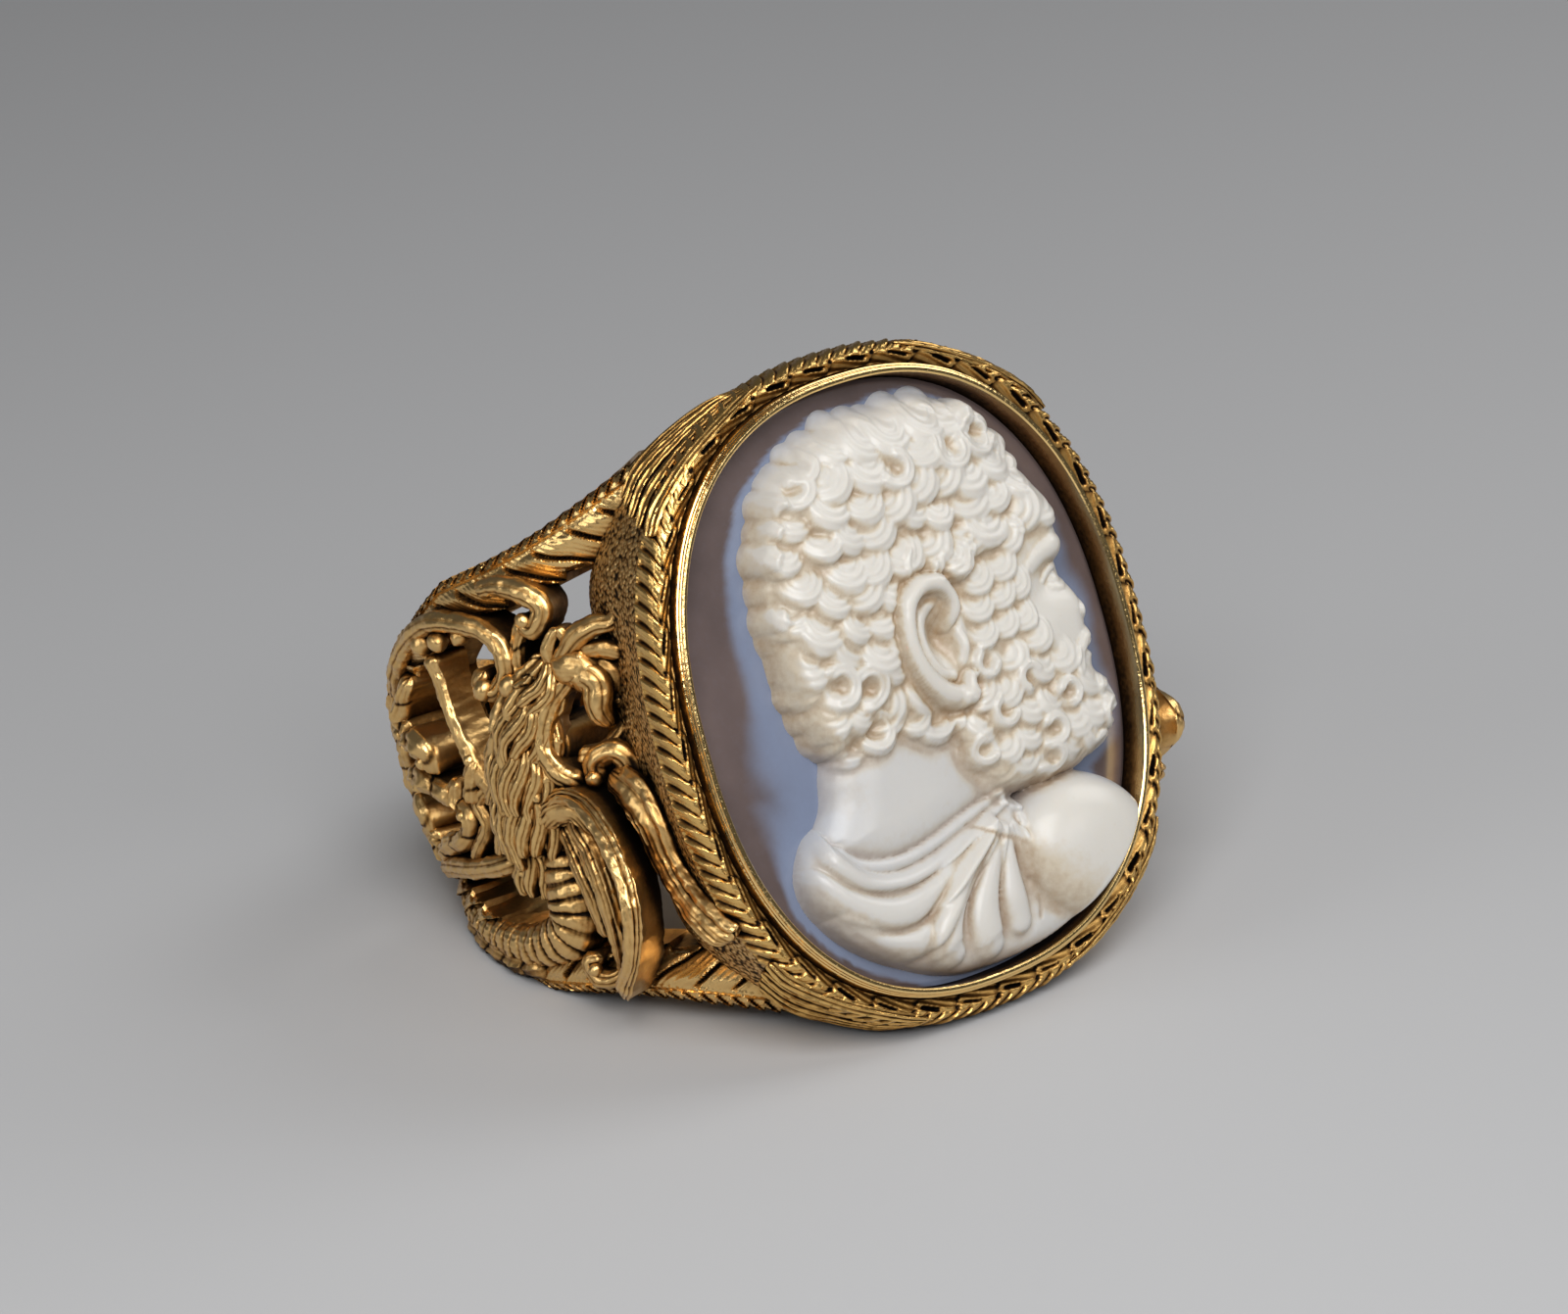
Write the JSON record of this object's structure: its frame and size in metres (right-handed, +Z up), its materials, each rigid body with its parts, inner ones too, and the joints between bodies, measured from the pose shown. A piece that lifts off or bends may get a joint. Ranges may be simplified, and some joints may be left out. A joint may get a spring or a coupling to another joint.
{
  "type": "cameo ring",
  "caption": "Gold finger ring lying on its side, with a leaf-bordered oval bezel, pierced griffin shoulders and a layered agate cameo of a bearded bust in profile.",
  "frame": {"origin": "centre of the ring's footprint, on the plane that it lies on", "axes": "+X to the right of the bezel, +Y from the bezel towards the back of the band, +Z up from the surface; the finger hole runs up and back, 22.5 degrees from +Z"},
  "size_m": [0.0284, 0.0309, 0.0261],
  "materials": {
    "mount": "cast and engraved aged gold, with dark brown patina in the hollows",
    "collet": "smooth polished gold",
    "stone_ground": "polished mauve-brown agate layer",
    "stone_bust": "softly polished ivory-white agate layer"
  },
  "bodies": {
    "root": {"mount": "mount", "collet": "collet", "stone_ground": "stone_ground", "stone_bust": "stone_bust"}
  },
  "joints": []
}
